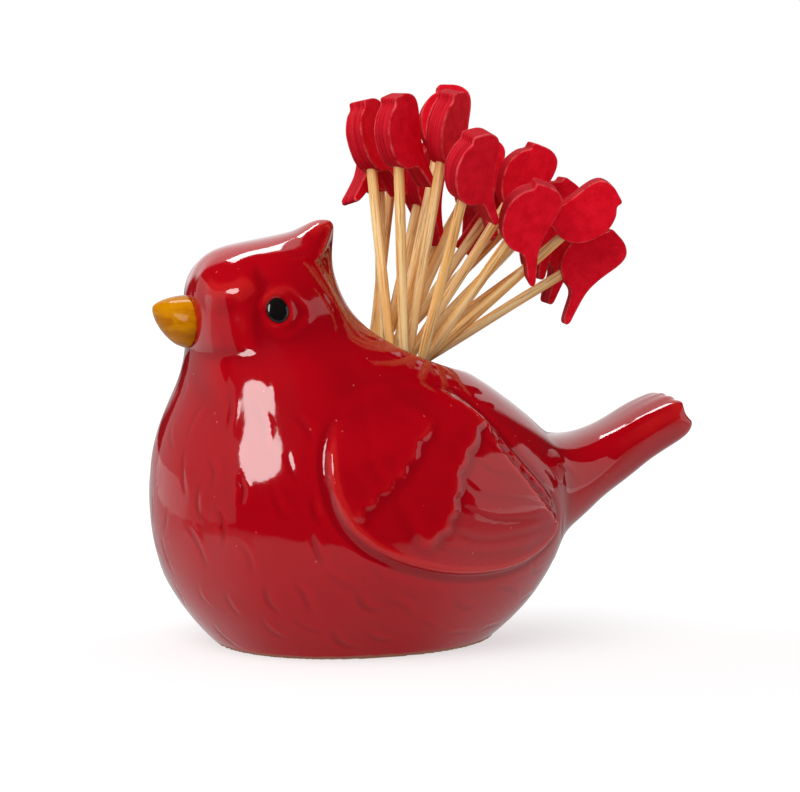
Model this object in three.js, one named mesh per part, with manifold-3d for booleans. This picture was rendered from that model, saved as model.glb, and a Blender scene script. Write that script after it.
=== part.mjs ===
// A ceramic songbird that holds a bunch of cocktail picks.
//
// The bird is one hollow slip casting with a round mouth in its back. Its beak and its two eyes are
// small pieces set on the casting. The picks are round bamboo skewers, each with a flat wooden tag
// in the outline of a bird. They stand in the hollow, lean on each other and lift out one by one.
//
// Lengths are in millimetres and angles in degrees. The origin is the centre of the foot, -X is
// where the beak points, the bird's two halves mirror each other in the XZ plane, and +Z is up.

import * as THREE from "three";
import { mergeVertices } from "three/addons/utils/BufferGeometryUtils.js";
import Module from "manifold-3d";

const wasm = await Module();
wasm.setup();

// The casting
const bodyLength = 100; // from the breast to the rump
const bodyWidth = 76; // across both flanks
const crestHeight = 95.5; // from the foot to the tip of the crest
const wall = 4;
const floorThickness = 4.5;

// The mouth in the back, which the bunch of picks leans out of
const mouthLength = 25;
const mouthWidth = 23;
const mouthTilt = 27; // the mouth faces back by this much from straight up
const mouthCutDepth = 17;
const mouthCutRise = 30;

// The tail
const tailLength = 42.5; // from its root inside the body to its tip
const tailRise = 17.6;
const tailThickness = 9;
const tailWidth = 23;
const tailNotch = 1.8; // depth of the notches between the feather ends
const tailFeathers = 5;

// The wings, as relief on the flanks
const wingRaise = 1.9; // how far the long feathers stand out of the flank
const covertRaise = 2.8; // and the short feathers in front of them
const wingEdge = 3.4; // width of the slope at the wing's edge
const covertEdge = 2.6;
const reliefRoot = 1.6; // how far the relief reaches into the wall

// The beak and the eyes
const beakLength = 7.6; // how far it stands out of the face
const beakHeight = 11.4;
const beakWidth = 13;
const beakBluntness = 1.45; // exponent of its outline: 1 is a sharp cone, 2 a round dome
const beakTilt = 24; // the beak points up by this much
const beakRoot = 7; // length of the beak's cone that the face cuts away
const eyeWidth = 4.9;
const eyeHeight = 5.3;
const eyeStand = 0.7; // how far the eye's dome stands out of the head
const eyelidThickness = 1.9; // the round rim about the eye
const eyelidShift = 0.35; // it lies this much deeper than the surface
const eyeSocketDepth = 1.3;
const seatGap = 0.3; // between a piece and its seat in the casting

// The picks
const pickLength = 119; // from the point to the crown of the tag
const shaftDiameter = 2.35;
const pointLength = 9;
const pointDiameter = 0.5;
const tagRise = 16.5; // from where the shaft enters to the crown
const tagWidth = 11.5; // across the belly
const tagThickness = 4.5;
const tagBoreDepth = 8;
const tagBoreClearance = 0.15; // on the radius

// The bunch. Each pick is given by how it slopes away from the bunch's axis. At every height the
// picks form the same pattern, turned and scaled, so their shafts twist past each other and never
// meet: the pattern is tightest at the waist, which is a little below the mouth.
const bunchTwistShare = 4.9; // how far the waist keeps a pick of slope 1 off the axis, in shaft diameters
const waistDepth = 8.5; // below the centre of the mouth

// One row for each station of the casting, from the foot to the crest. Each gives the front point
// and the back point of a section as shares [x of the body's length, z of the crest's height],
// its greatest half width as a share of half the body's width, and where that is, in x.
const stationShares = [
  [[-0.305, 0], [0.315, 0], 0.67, 0],
  [[-0.328, 0.024], [0.34, 0.024], 0.73, 0],
  [[-0.375, 0.085], [0.395, 0.079], 0.83, 0],
  [[-0.414, 0.152], [0.436, 0.137], 0.91, 0],
  [[-0.441, 0.225], [0.472, 0.2], 0.97, 0],
  [[-0.457, 0.304], [0.5, 0.277], 1, 0],
  [[-0.46, 0.382], [0.51, 0.361], 0.995, 0],
  [[-0.454, 0.45], [0.49, 0.435], 0.96, -0.01],
  [[-0.437, 0.518], [0.44, 0.501], 0.895, -0.03],
  [[-0.415, 0.576], [0.367, 0.565], 0.81, -0.06],
  [[-0.396, 0.623], [0.283, 0.626], 0.715, -0.1],
  [[-0.384, 0.668], [0.188, 0.678], 0.63, -0.14],
  [[-0.379, 0.707], [0.095, 0.719], 0.56, -0.175],
  [[-0.379, 0.743], [0.024, 0.755], 0.517, -0.195],
  [[-0.38, 0.785], [-0.016, 0.801], 0.497, -0.205],
  [[-0.378, 0.827], [-0.036, 0.848], 0.48, -0.21],
  [[-0.367, 0.869], [-0.045, 0.893], 0.435, -0.21],
  [[-0.343, 0.909], [-0.043, 0.93], 0.355, -0.205],
  [[-0.297, 0.939], [-0.039, 0.96], 0.24, -0.185],
  [[-0.22, 0.958], [-0.037, 0.978], 0.155, -0.14],
  [[-0.14, 0.975], [-0.04, 0.99], 0.09, -0.095],
  [[-0.08, 0.994], [-0.055, 0.997], 0.02, -0.066],
];
// How many steps the skin takes from each station to the next
const skinSteps = [1, 1, 2, 2, 2, 2, 2, 2, 2, 2, 2, 1, 1, 1, 1, 1, 1, 1, 1, 1, 2];
const bodyPlumpness = 2.15; // exponent of the sections' superellipse
const crestSharpness = 1.55; // the same behind the crown, where the crest is a wedge
const crestStart = 15; // stations from here up take the crest's exponent at the back
const hollowTop = 16; // the hollow ends at this station, inside the head
const mouthStation = 11.55;

// The wing's outline and the outline of the short feathers that cover its front, in the same shares
const wingOutlineShares = [
  [-0.12, 0.57], [-0.147, 0.49], [-0.147, 0.42], [-0.131, 0.355], [-0.095, 0.3], [-0.03, 0.252],
  [0.06, 0.213], [0.16, 0.194], [0.27, 0.2], [0.36, 0.236], [0.41, 0.3], [0.4, 0.35],
  [0.36, 0.42], [0.3, 0.49], [0.21, 0.56], [0.1, 0.62], [0, 0.64], [-0.08, 0.62],
];
const covertOutlineShares = [
  [-0.115, 0.57], [-0.14, 0.49], [-0.14, 0.42], [-0.122, 0.355], [-0.085, 0.304], [-0.02, 0.262],
  [0.05, 0.27], [0.1, 0.31], [0.135, 0.36], [0.15, 0.42], [0.18, 0.5], [0.19, 0.58],
  [0.1, 0.62], [0, 0.63], [-0.08, 0.61],
];
const reliefShares = [0, 0.05, 0.11, 0.18, 0.3, 0.55, 0.82]; // rings, from the edge inwards
const shoulderFadeShares = [0.47, 0.62]; // the wing sinks into the back between these heights

// Sections of the tail: [run, rise, thickness, width], as shares of the tail's own four sizes
const tailRootShares = [0.38, 0.345]; // x of the body's length, z of the crest's height
const tailShares = [
  [0, 0, 3.6, 1.9],
  [0.196, 0.08, 2.75, 1.55],
  [0.36, 0.19, 2.05, 1.25],
  [0.5, 0.36, 1.5, 1.05],
  [0.65, 0.56, 1.15, 0.96],
  [0.8, 0.77, 1, 1],
  [0.92, 0.91, 0.88, 1],
  [0.98, 0.975, 0.62, 0.9],
  [1, 1, 0.3, 0.7],
];
const tailPlumpness = 2.6;

// Where the eye and the beak sit
const eyePlaceShares = [-0.2135, 0.795]; // x of the body's length, z of the crest's height
const beakPlaceShare = 0.765; // z of the crest's height

// The tag's outline, in shares [across of the tag's width, along of the tag's rise]. It starts at
// the tip of its beak and goes over the crown, down the back, round the tail and up the belly.
const tagOutlineShares = [
  [-0.27, 0.93], [-0.12, 0.98], [0.08, 1], [0.28, 0.97], [0.4, 0.88], [0.45, 0.72], [0.47, 0.52],
  [0.5, 0.34], [0.56, 0.19], [0.69, 0.02], [0.83, -0.14], [0.92, -0.25], [0.9, -0.3],
  [0.83, -0.31], [0.7, -0.24], [0.55, -0.12], [0.42, -0.02], [0.3, 0], [0.12, -0.01],
  [-0.06, 0.01], [-0.24, 0.09], [-0.38, 0.22], [-0.47, 0.38], [-0.5, 0.53], [-0.46, 0.66],
  [-0.36, 0.79], [-0.25, 0.87],
];

// One row for each pick: [slope towards the tail, slope towards the far side, turn of its tag about
// the shaft in degrees, height of its point above the inside of the casting as a share of its
// length]. Those with a height are wedged between their neighbours. With no turn, the tag's near
// face is square to the XZ plane's normal and its tail points to the bird's tail.
const pickShares = [
  [-0.6, 0.16, -40, 0],
  [-0.59, -0.12, -35, 0],
  [-0.35, -0.15, -45, 0.02],
  [-0.35, -0.42, -25, 0],
  [0.06, -0.38, -5, 0],
  [-0.15, 0.31, -35, 0],
  [-0.24, 0.08, 10, 0.05],
  [0.21, 0.2, -75, 0.06],
  [0.45, 0.38, 50, 0.07],
  [0.09, -0.11, -5, 0.07],
  [0.6, -0.21, 5, 0.01],
  [0.34, -0.3, 180, 0.07],
  [0.57, 0.06, -10, 0.05],
  [-0.4, 0.37, 150, 0],
  [-0.2, 0.55, -15, 0.02],
  [-0.01, 0.11, 15, 0.03],
  [0.2, 0.46, -30, 0.08],
  [0.33, -0.02, -5, 0.07],
];

const bunchTwist = bunchTwistShare * shaftDiameter;
const degree = Math.PI / 180;
const cutOverrun = 2;
const smallest = 1e-3;

// A closed mesh as a solid that can be joined and cut
function solid(geometry) {
  const bare = geometry.index ? geometry.toNonIndexed() : geometry.clone();
  const positions = new THREE.BufferGeometry().setAttribute("position", bare.getAttribute("position"));
  const merged = mergeVertices(positions, smallest);
  return new wasm.Manifold(
    new wasm.Mesh({
      numProp: 3,
      vertProperties: new Float32Array(merged.attributes.position.array),
      triVerts: new Uint32Array(merged.index.array),
    }),
  );
}

// A solid back as a mesh
function geometryOf(made) {
  const mesh = made.getMesh();
  const points = new Float32Array(mesh.numVert * 3);
  for (let i = 0; i < mesh.numVert; i++) {
    points.set(mesh.vertProperties.subarray(i * mesh.numProp, i * mesh.numProp + 3), i * 3);
  }
  const geometry = new THREE.BufferGeometry();
  geometry.setAttribute("position", new THREE.BufferAttribute(points, 3));
  geometry.setIndex(new THREE.BufferAttribute(new Uint32Array(mesh.triVerts), 1));
  geometry.computeVertexNormals();
  return geometry;
}

// A skin over a stack of rings with the same number of points, closed by a fan at each end
function skin(rings) {
  const count = rings[0].length;
  const points = rings.flat();
  const indices = [];
  for (let level = 0; level < rings.length - 1; level++) {
    for (let i = 0; i < count; i++) {
      const a = level * count + i;
      const b = level * count + ((i + 1) % count);
      indices.push(a, b, b + count, a, b + count, a + count);
    }
  }
  for (const [level, turn] of [[0, 1], [rings.length - 1, 0]]) {
    const middle = new THREE.Vector3();
    rings[level].forEach((p) => middle.addScaledVector(p, 1 / count));
    const centre = points.push(middle) - 1;
    for (let i = 0; i < count; i++) {
      const a = level * count + ((i + turn) % count);
      const b = level * count + ((i + 1 - turn) % count);
      indices.push(a, b, centre);
    }
  }
  const geometry = new THREE.BufferGeometry().setFromPoints(points);
  geometry.setIndex(indices);
  geometry.computeVertexNormals();
  return geometry;
}

// The same skin moved along its normals, outwards if the distance is positive
function offsetSkin(geometry, distance) {
  const moved = geometry.clone();
  const position = moved.attributes.position;
  const normal = moved.attributes.normal;
  for (let i = 0; i < position.count; i++) {
    position.setXYZ(
      i,
      position.getX(i) + distance * normal.getX(i),
      position.getY(i) + distance * normal.getY(i),
      position.getZ(i) + distance * normal.getZ(i),
    );
  }
  return moved;
}

// A point of the side view, from shares of the body's length and the crest's height
function sidePoint([x, z]) {
  return new THREE.Vector3(x * bodyLength, 0, z * crestHeight);
}

const frontLine = new THREE.CatmullRomCurve3(stationShares.map((row) => sidePoint(row[0])));
const backLine = new THREE.CatmullRomCurve3(stationShares.map((row) => sidePoint(row[1])));
const flankLine = new THREE.CatmullRomCurve3(
  stationShares.map((row) => new THREE.Vector3(row[3] * bodyLength, (row[2] * bodyWidth) / 2, 0)),
);
const lastStation = stationShares.length - 1;

// How far a point of the side view is inside a closed outline; negative outside
function depthInside(outline, x, z) {
  let inside = false;
  let nearest = Infinity;
  outline.forEach((a, i) => {
    const b = outline[(i + 1) % outline.length];
    if (a.z > z !== b.z > z && x < ((b.x - a.x) * (z - a.z)) / (b.z - a.z) + a.x) inside = !inside;
    const run = new THREE.Vector3().subVectors(b, a);
    const to = new THREE.Vector3(x - a.x, 0, z - a.z);
    const share = THREE.MathUtils.clamp(to.dot(run) / run.lengthSq(), 0, 1);
    nearest = Math.min(nearest, to.addScaledVector(run, -share).length());
  });
  return inside ? nearest : -nearest;
}

const outlineSteps = 42;
function closedOutline(shares) {
  return new THREE.CatmullRomCurve3(shares.map(sidePoint), true).getPoints(outlineSteps).slice(1);
}

function superellipse(angle, exponent) {
  const power = 2 / exponent;
  const along = Math.sign(Math.cos(angle)) * Math.abs(Math.cos(angle)) ** power;
  const across = Math.sign(Math.sin(angle)) * Math.abs(Math.sin(angle)) ** power;
  return [along, across];
}

// One section of the casting, as a ring that runs from the back point round by the near flank
function section(station, ringPoints) {
  const front = frontLine.getPoint(station / lastStation);
  const back = backLine.getPoint(station / lastStation);
  const flank = flankLine.getPoint(station / lastStation);
  const backExponent = station > crestStart ? crestSharpness : bodyPlumpness;
  return Array.from({ length: ringPoints }, (_, i) => {
    const angle = (i / ringPoints) * 360 * degree;
    const [along, across] = superellipse(angle, Math.cos(angle) > 0 ? backExponent : bodyPlumpness);
    const x = flank.x + along * (along > 0 ? back.x - flank.x : flank.x - front.x);
    const share = (x - front.x) / (back.x - front.x);
    return new THREE.Vector3(x, across * flank.y, THREE.MathUtils.lerp(front.z, back.z, share));
  });
}

// The casting's skin up to a station, with the given number of points round each section. The
// sections are nearer together where the profile curves.
function castingSkin(topStation, ringPoints, stepDivisor) {
  const rings = [];
  skinSteps.slice(0, topStation).forEach((steps, station) => {
    const count = Math.ceil(steps / stepDivisor);
    for (let i = 0; i < count; i++) rings.push(section(station + i / count, ringPoints));
  });
  rings.push(section(topStation, ringPoints));
  return skin(rings);
}

function tailSkin() {
  const root = sidePoint(tailRootShares);
  const centre = new THREE.CatmullRomCurve3(
    tailShares.map(([run, rise]) => {
      return new THREE.Vector3(run * tailLength, 0, rise * tailRise).add(root);
    }),
  );
  const girth = new THREE.CatmullRomCurve3(
    tailShares.map(([, , thick, wide]) => {
      return new THREE.Vector3((thick * tailThickness) / 2, (wide * tailWidth) / 2, 0);
    }),
  );
  const levels = 14;
  const tailRingPoints = 28;
  return skin(
    Array.from({ length: levels + 1 }, (_, level) => {
      const share = level / levels;
      const middle = centre.getPoint(share);
      const tangent = centre.getTangent(share);
      const upward = new THREE.Vector3(-tangent.z, 0, tangent.x);
      const size = girth.getPoint(share);
      const scallop = THREE.MathUtils.smoothstep(share, 0.7, 1) * tailNotch;
      return Array.from({ length: tailRingPoints }, (__, i) => {
        const [up, side] = superellipse((i / tailRingPoints) * 360 * degree, tailPlumpness);
        const feather = Math.abs(Math.cos(side * tailFeathers * 0.5 * Math.PI)) ** 0.5;
        return middle
          .clone()
          .addScaledVector(upward, up * size.x)
          .addScaledVector(tangent, (feather - 1) * scallop)
          .add(new THREE.Vector3(0, -side * size.y, 0));
      });
    }),
  );
}

// A cylinder along the mouth's axis, with an oval section
function mouthCut() {
  const cut = new THREE.CylinderGeometry(1, 1, mouthCutDepth + mouthCutRise, 40);
  cut.translate(0, (mouthCutRise - mouthCutDepth) / 2, 0);
  cut.scale(mouthLength / 2, 1, mouthWidth / 2);
  cut.rotateX(90 * degree);
  cut.rotateY(mouthTilt * degree);
  return cut.translate(mouthCentre.x, mouthCentre.y, mouthCentre.z);
}
const mouthCentre = backLine.getPoint(mouthStation / lastStation);

const plainBody = new THREE.Mesh(
  castingSkin(lastStation, 48, 1),
  new THREE.MeshStandardMaterial({ side: THREE.DoubleSide }),
);
plainBody.updateMatrixWorld();

// Where the casting's surface is, straight out from the middle plane at a point of the side view
function flankPoint(x, z) {
  const ray = new THREE.Raycaster(new THREE.Vector3(x, 0, z), new THREE.Vector3(0, -1, 0));
  const hit = ray.intersectObject(plainBody)[0];
  return { point: hit.point, normal: hit.normal.negate() };
}

// A pad on the near flank with the given outline. It rises over the width of its edge, and sinks
// into the back at the shoulder.
function reliefPad(outlineShares, raise, edge) {
  const outline = closedOutline(outlineShares);
  const centre = new THREE.Vector3();
  outline.forEach((p) => centre.addScaledVector(p, 1 / outline.length));
  const [fadeFrom, fadeTo] = shoulderFadeShares.map((share) => share * crestHeight);
  const ring = (share, height) =>
    outline.map((p) => {
      const side = p.clone().lerp(centre, share);
      const { point, normal } = flankPoint(side.x, side.z);
      return point.addScaledVector(normal, height(side));
    });
  const rise = (side) => {
    const slope = THREE.MathUtils.smoothstep(depthInside(outline, side.x, side.z), 0, edge);
    const shoulder = 1 - THREE.MathUtils.smoothstep(side.z, fadeFrom, fadeTo);
    return slope * shoulder * (raise + seatGap) - seatGap;
  };
  const inner = reliefShares.filter((_, i) => i % 3 === 0).map((share) => ring(share, () => -reliefRoot));
  const outer = reliefShares.map((share) => ring(share, rise));
  return skin([...inner.reverse(), ...outer]);
}

const eyeSeat = flankPoint(...eyePlaceShares.map((share, i) => share * [bodyLength, crestHeight][i]));

// The same shape on the far side of the middle plane
function mirrored(geometry) {
  geometry.scale(1, -1, 1);
  const index = geometry.index.array;
  for (let i = 0; i < index.length; i += 3) [index[i + 1], index[i + 2]] = [index[i + 2], index[i + 1]];
  return geometry;
}

// A lens or a short plug, set square to the head at the near eye
function atEye(geometry, side) {
  const turn = new THREE.Quaternion().setFromUnitVectors(new THREE.Vector3(0, 1, 0), eyeSeat.normal);
  geometry.applyQuaternion(turn);
  geometry.translate(eyeSeat.point.x, eyeSeat.point.y, eyeSeat.point.z);
  return side > 0 ? mirrored(geometry) : geometry;
}

function eyeSocket(side) {
  const plug = new THREE.CylinderGeometry(1, 1, eyeSocketDepth + cutOverrun, 24);
  plug.scale(eyeWidth / 2 + seatGap, 1, eyeHeight / 2 + seatGap);
  plug.translate(0, (cutOverrun - eyeSocketDepth) / 2, 0);
  return atEye(plug, side);
}

function eyelid(side) {
  const lid = new THREE.TorusGeometry(1, eyelidThickness / eyeWidth, 8, 24);
  lid.rotateX(90 * degree);
  lid.scale(eyeWidth / 2, eyelidThickness / 2 / (eyelidThickness / eyeWidth), eyeHeight / 2);
  return atEye(lid.translate(0, -eyelidShift, 0), side);
}

function eye(side) {
  const rim = new THREE.CatmullRomCurve3(
    [
      [1, seatGap - eyeSocketDepth],
      [1, 0],
      [0.86, eyeStand * 0.55],
      [0.5, eyeStand * 0.92],
      [0, eyeStand],
    ].map(([x, y]) => new THREE.Vector3(x, y, 0)),
  );
  const profile = [new THREE.Vector2(0, seatGap - eyeSocketDepth)];
  rim.getPoints(6).forEach((p) => profile.push(new THREE.Vector2(Math.max(p.x, 0), p.y)));
  profile[profile.length - 1].x = 0;
  const dome = new THREE.LatheGeometry(profile, 24);
  dome.scale(eyeWidth / 2, 1, eyeHeight / 2);
  return atEye(dome, side);
}

// The space inside: the casting's own shape, moved in by the wall
function hollow() {
  const inner = offsetSkin(castingSkin(hollowTop, 32, 2), -wall);
  const position = inner.attributes.position;
  for (let i = 0; i < position.count; i++) {
    position.setZ(i, Math.max(position.getZ(i), floorThickness));
  }
  return inner;
}

const hollowMesh = new THREE.Mesh(hollow(), new THREE.MeshStandardMaterial({ side: THREE.DoubleSide }));
hollowMesh.updateMatrixWorld();

function casting() {
  let made = solid(plainBody.geometry).add(solid(tailSkin()));
  for (const [outline, raise, edge] of [
    [wingOutlineShares, wingRaise, wingEdge],
    [covertOutlineShares, covertRaise, covertEdge],
  ]) {
    const pad = reliefPad(outline, raise, edge);
    made = made.add(solid(pad)).add(solid(mirrored(pad)));
  }
  made = made.subtract(solid(hollowMesh.geometry)).subtract(solid(mouthCut()));
  for (const side of [-1, 1]) made = made.add(solid(eyelid(side))).subtract(solid(eyeSocket(side)));
  return made;
}

// The beak: a round cone with a blunt tip, cut to the curve of the face
function beak() {
  const place = beakPlaceShare * crestHeight;
  const ray = new THREE.Raycaster(
    new THREE.Vector3(-bodyLength, 0, place),
    new THREE.Vector3(1, 0, 0),
  );
  const face = ray.intersectObject(plainBody)[0].point;
  const profile = [new THREE.Vector2(0, -beakRoot), new THREE.Vector2(1, -beakRoot)];
  const steps = 9;
  for (let i = 0; i <= steps; i++) {
    const [across, along] = superellipse((i / steps) * 90 * degree, beakBluntness);
    profile.push(new THREE.Vector2(i < steps ? across : 0, along * beakLength));
  }
  const cone = new THREE.LatheGeometry(profile, 28);
  cone.scale(beakWidth / 2, 1, beakHeight / 2);
  cone.rotateZ(90 * degree);
  cone.rotateY(beakTilt * degree);
  cone.translate(face.x, face.y, face.z);
  const faceSkin = offsetSkin(plainBody.geometry, seatGap);
  return solid(cone).subtract(solid(faceSkin));
}

// The tag's outline in the plane of its face: x towards its tail, y out along the shaft
function tagShape() {
  const points = tagOutlineShares.map(([x, y]) => new THREE.Vector2(x * tagWidth, y * tagRise));
  return new THREE.Shape(points);
}

const shaftSides = 10;
function tag() {
  const board = new THREE.ExtrudeGeometry(tagShape(), { depth: tagThickness, bevelEnabled: false });
  board.translate(0, 0, -tagThickness / 2);
  const boreRadius = shaftDiameter / 2 + tagBoreClearance;
  const boreLength = tagBoreDepth + tagBoreClearance + cutOverrun;
  const bore = new THREE.CylinderGeometry(boreRadius, boreRadius, boreLength, shaftSides);
  bore.translate(0, boreLength / 2 - cutOverrun, 0);
  return geometryOf(solid(board).subtract(solid(bore)));
}

// The shaft, with its top in the tag's bore and its point down
function shaft() {
  const bottom = tagRise - pickLength;
  const profile = [
    [0, bottom],
    [pointDiameter / 2, bottom],
    [shaftDiameter / 2, bottom + pointLength],
    [shaftDiameter / 2, tagBoreDepth],
    [0, tagBoreDepth],
  ].map(([r, y]) => new THREE.Vector2(r, y));
  return new THREE.LatheGeometry(profile, shaftSides);
}

const glazeRed = new THREE.MeshStandardMaterial({ color: 0xa80a18, roughness: 0.12, metalness: 0 });
const glazeYellow = new THREE.MeshStandardMaterial({ color: 0xd9940f, roughness: 0.15, metalness: 0 });
const glazeBlack = new THREE.MeshStandardMaterial({ color: 0x0b0a0a, roughness: 0.1, metalness: 0 });
const bamboo = new THREE.MeshStandardMaterial({ color: 0xd6a766, roughness: 0.6, metalness: 0 });
const paintedWood = new THREE.MeshStandardMaterial({ color: 0xc01322, roughness: 0.7, metalness: 0 });

const holder = new THREE.Group();
function addPiece(group, name, geometry, material) {
  const mesh = new THREE.Mesh(geometry, material);
  mesh.name = name;
  group.add(mesh);
}

addPiece(holder, "bird_casting", geometryOf(casting()), glazeRed);
addPiece(holder, "beak", geometryOf(beak()), glazeYellow);
addPiece(holder, "left_eye", eye(-1), glazeBlack);
addPiece(holder, "right_eye", eye(1), glazeBlack);

// The bunch's own axes: out of the mouth, towards the tail, and towards the far side
const outward = new THREE.Vector3(Math.sin(mouthTilt * degree), 0, Math.cos(mouthTilt * degree));
const tailward = new THREE.Vector3(outward.z, 0, -outward.x);
const farward = new THREE.Vector3(0, 1, 0);
const waist = mouthCentre.clone().addScaledVector(outward, -waistDepth);

// Places one pick: it slides down its own axis until its point stands on the inside of the
// casting, or is held above it
function placePick(group, [slopeBack, slopeFar, turn, held]) {
  const direction = outward
    .clone()
    .addScaledVector(tailward, slopeBack)
    .addScaledVector(farward, slopeFar)
    .normalize();
  const start = waist
    .clone()
    .addScaledVector(tailward, -slopeFar * bunchTwist)
    .addScaledVector(farward, slopeBack * bunchTwist);
  const ray = new THREE.Raycaster(start, direction.clone().negate());
  const seat = ray.intersectObject(hollowMesh)[0];
  const slant = Math.max(Math.abs(seat.face.normal.dot(direction)), smallest);
  const lift = (seatGap + pointDiameter / 2) / slant;
  const faceNormal = farward.clone().negate().projectOnPlane(direction).normalize();
  const across = new THREE.Vector3().crossVectors(direction, faceNormal);
  group.matrix.makeBasis(across, direction, faceNormal);
  group.quaternion.setFromRotationMatrix(group.matrix);
  group.rotateY(-turn * degree);
  const reach = lift + (1 + held) * pickLength - tagRise;
  group.position.copy(seat.point).addScaledVector(direction, reach);
}

const tagGeometry = tag();
const shaftGeometry = shaft();
pickShares.forEach((row, i) => {
  const number = String(i + 1).padStart(2, "0");
  const pick = new THREE.Group();
  addPiece(pick, `pick_${number}_shaft`, shaftGeometry, bamboo);
  addPiece(pick, `pick_${number}_tag`, tagGeometry, paintedWood);
  placePick(pick, row);
  holder.add(pick);
});

export default holder;
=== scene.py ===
# %% [markdown]
# # A ceramic songbird that holds toothpicks
# The bird is a glossy red slip casting, open at a mouth in its back. Its beak is ochre and its eyes are
# black. The bunch in the mouth is eighteen bamboo skewers, each with a painted wooden tag.
#
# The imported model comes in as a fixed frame. Its pieces have the right size and place but few
# facets, so a finer piece is made over each of them here, moves with the same body, and hides it.

# %% The frame
import math

import bmesh
import bpy
import numpy as np
from mathutils import Matrix, Vector, noise
from mathutils.bvhtree import BVHTree


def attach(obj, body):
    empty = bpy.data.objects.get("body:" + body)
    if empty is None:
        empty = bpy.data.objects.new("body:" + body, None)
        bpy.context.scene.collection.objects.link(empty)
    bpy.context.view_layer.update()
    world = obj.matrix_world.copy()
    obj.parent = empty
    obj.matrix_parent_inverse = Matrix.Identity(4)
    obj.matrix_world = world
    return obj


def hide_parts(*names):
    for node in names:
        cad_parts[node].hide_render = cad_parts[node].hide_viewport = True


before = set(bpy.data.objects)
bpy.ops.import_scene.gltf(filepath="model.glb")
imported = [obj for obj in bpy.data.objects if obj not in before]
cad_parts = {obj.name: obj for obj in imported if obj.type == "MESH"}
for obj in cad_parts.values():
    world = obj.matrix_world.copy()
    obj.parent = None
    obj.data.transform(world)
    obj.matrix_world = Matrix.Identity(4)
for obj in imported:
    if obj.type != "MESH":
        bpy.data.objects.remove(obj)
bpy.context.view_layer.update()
mm = 0.001
scene = bpy.context.scene
scene.view_settings.view_transform = "Standard"

# %% [markdown]
# ## The camera
# The photograph looks a little from the front, from just above the crest. A long lens keeps the
# bird's proportions. The optical axis is turned down and to the right to frame the bird, so that
# no lens shift is needed.

# %% The camera
camera_turn = math.radians(15)
camera_distance = 456 * mm
camera_height = 97 * mm
aim_right, aim_down = 0.0247, 0.0918
lens, sensor_width = 89.9, 36

to_camera = Vector((-math.sin(camera_turn), -math.cos(camera_turn), 0))
to_right = Vector((math.cos(camera_turn), -math.sin(camera_turn), 0))
camera = bpy.data.objects.new("photo_camera", bpy.data.cameras.new("photo_camera"))
scene.collection.objects.link(camera)
scene.camera = camera
camera.data.sensor_width = sensor_width
camera.data.lens = lens
camera.location = to_camera * camera_distance + Vector((0, 0, camera_height))
gaze = -to_camera + to_right * aim_right - Vector((0, 0, 1)) * aim_down
camera.rotation_euler = gaze.to_track_quat("-Z", "Y").to_euler()
print("camera at", [round(c, 3) for c in camera.location])

# %% [markdown]
# ## Shaders as sums
# A shader is a web of nodes. Wrapping a socket in a small class lets the arithmetic be written as
# ordinary expressions, and each operator adds its Math node. Every other node is made by one method.

# %% A socket that takes part in sums
class Wire:
    def __init__(self, paint, socket):
        self.paint = paint
        self.socket = socket

    def math(self, operation, first, second):
        return self.paint.node("Math", {"operation": operation}, {0: first, 1: second})

    def __add__(self, other):
        return self.math("ADD", self, other)

    def __sub__(self, other):
        return self.math("SUBTRACT", self, other)

    def __rsub__(self, other):
        return self.math("SUBTRACT", other, self)

    def __mul__(self, other):
        return self.math("MULTIPLY", self, other)

    def __truediv__(self, other):
        return self.math("DIVIDE", self, other)

    def most(self, other):
        return self.math("MAXIMUM", self, other)

    __radd__ = __add__
    __rmul__ = __mul__


# %% A node tree to paint with
class Paint:
    def __init__(self, tree):
        self.tree = tree
        tree.nodes.clear()

    def node(self, kind, settings=None, sockets=None, out=0):
        made = self.tree.nodes.new("ShaderNode" + kind)
        for name, value in (settings or {}).items():
            setattr(made, name, value)
        for name, value in (sockets or {}).items():
            if isinstance(value, Wire):
                self.tree.links.new(value.socket, made.inputs[name])
            else:
                made.inputs[name].default_value = value
        return Wire(self, made.outputs[out]) if made.outputs else None

    def places(self):
        return self.node("TexCoord", out="Object")

    def attribute(self, name, out="Fac"):
        return self.node("Attribute", {"attribute_name": name}, out=out)

    def dot(self, first, second):
        sockets = {0: first, 1: second}
        return self.node("VectorMath", {"operation": "DOT_PRODUCT"}, sockets, out="Value")

    def rays(self, *kinds):
        return [self.node("LightPath", out=f"Is {kind} Ray") for kind in kinds]

    def ramp(self, value, low, high):
        ends = {"Value": value, "From Min": low, "From Max": high}
        return self.node("MapRange", {"interpolation_type": "SMOOTHSTEP"}, ends)

    def blend(self, share, first, second):
        return self.node("Mix", {"data_type": "RGBA"}, {0: share, 6: first, 7: second}, out=2)

    def noise(self, vector, scale, detail=2, roughness=0.5):
        sockets = {"Vector": vector, "Scale": scale, "Detail": detail, "Roughness": roughness}
        return self.node("TexNoise", None, sockets)

    def stretched(self, vector, scale):
        return self.node("Mapping", None, {"Vector": vector, "Scale": scale})

    def bump(self, height, depth):
        return self.node("Bump", None, {"Height": height, "Distance": depth})

    def surface(self, sockets):
        self.node("OutputMaterial", None, {"Surface": self.node("BsdfPrincipled", None, sockets)})


# %% Colours
def colour(red, green, blue):
    """A colour as it looks on the screen, 0 to 255, as the shader's own linear values."""
    shares = (c / 255 for c in (red, green, blue))
    return (*[s / 12.92 if s < 11 / 255 else ((s + 0.055) / 1.055) ** 2.4 for s in shares], 1)


def grey(level):
    return (level, level, level, 1)


def new_paint(name):
    material = bpy.data.materials.new(name)
    material.use_nodes = True
    return material, Paint(material.node_tree)


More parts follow.
